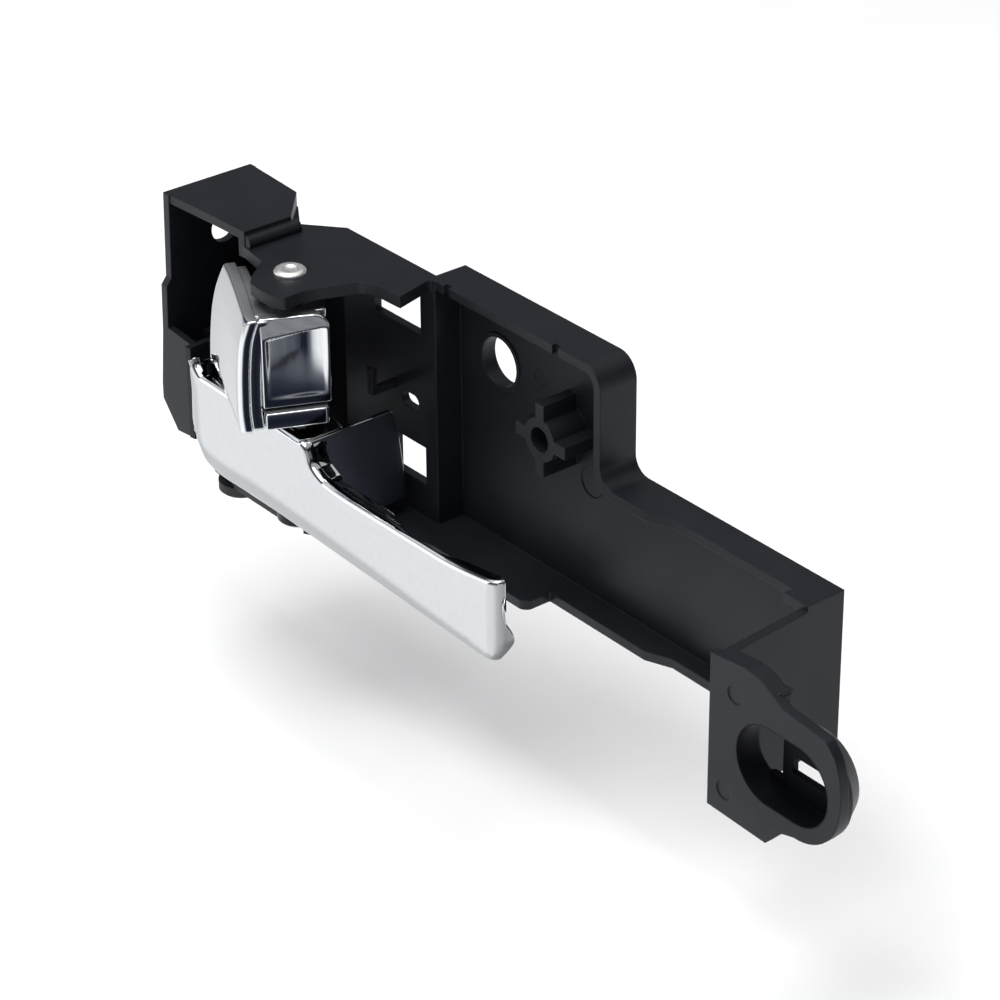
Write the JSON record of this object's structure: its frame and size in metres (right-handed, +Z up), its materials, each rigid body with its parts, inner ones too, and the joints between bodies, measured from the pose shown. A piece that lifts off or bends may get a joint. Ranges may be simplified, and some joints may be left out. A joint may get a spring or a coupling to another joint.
{
  "type": "car interior door handle",
  "caption": "Black moulded door handle carrier with a chrome pull lever, a chrome lock lever, a pivot pin and a rubber buffer.",
  "frame": {"origin": "axis of the screw boss at the rear face of the web", "axes": "+X along the handle from the pivot to the fixing tab, +Y into the door, +Z up"},
  "size_m": [0.209, 0.0463, 0.0651],
  "materials": {
    "black_moulding": "satin black glass-filled nylon with a fine moulded grain",
    "chrome_trim": "bright chrome plate with soft moulded waviness",
    "pin_steel": "zinc-plated rivet steel",
    "spring_steel": "drawn spring steel",
    "buffer_rubber": "matte black rubber"
  },
  "bodies": {
    "root": {"housing": "black_moulding", "pivot_pin": "pin_steel", "pin_retainer": "spring_steel", "friction_washer": "spring_steel", "rubber_buffer": "buffer_rubber", "return_spring": "spring_steel"},
    "pull": {"pull_lever": "chrome_trim"},
    "lock": {"lock_lever": "chrome_trim"}
  },
  "joints": [
    {"name": "pull_hinge", "type": "hinge", "parent": "root", "child": "pull", "pos_m": [-0.0582, -0.0295, -0.0211], "axis": [0, 0, -1], "range_deg": [0, 30], "stiffness_Nm_per_rad": 0.25, "springref_deg": -34.38, "deforming": ["return_spring"]},
    {"name": "lock_hinge", "type": "hinge", "parent": "root", "child": "lock", "pos_m": [-0.0582, -0.0295, 0.0059], "axis": [0, 0, 1], "range_deg": [0, 25]}
  ]
}
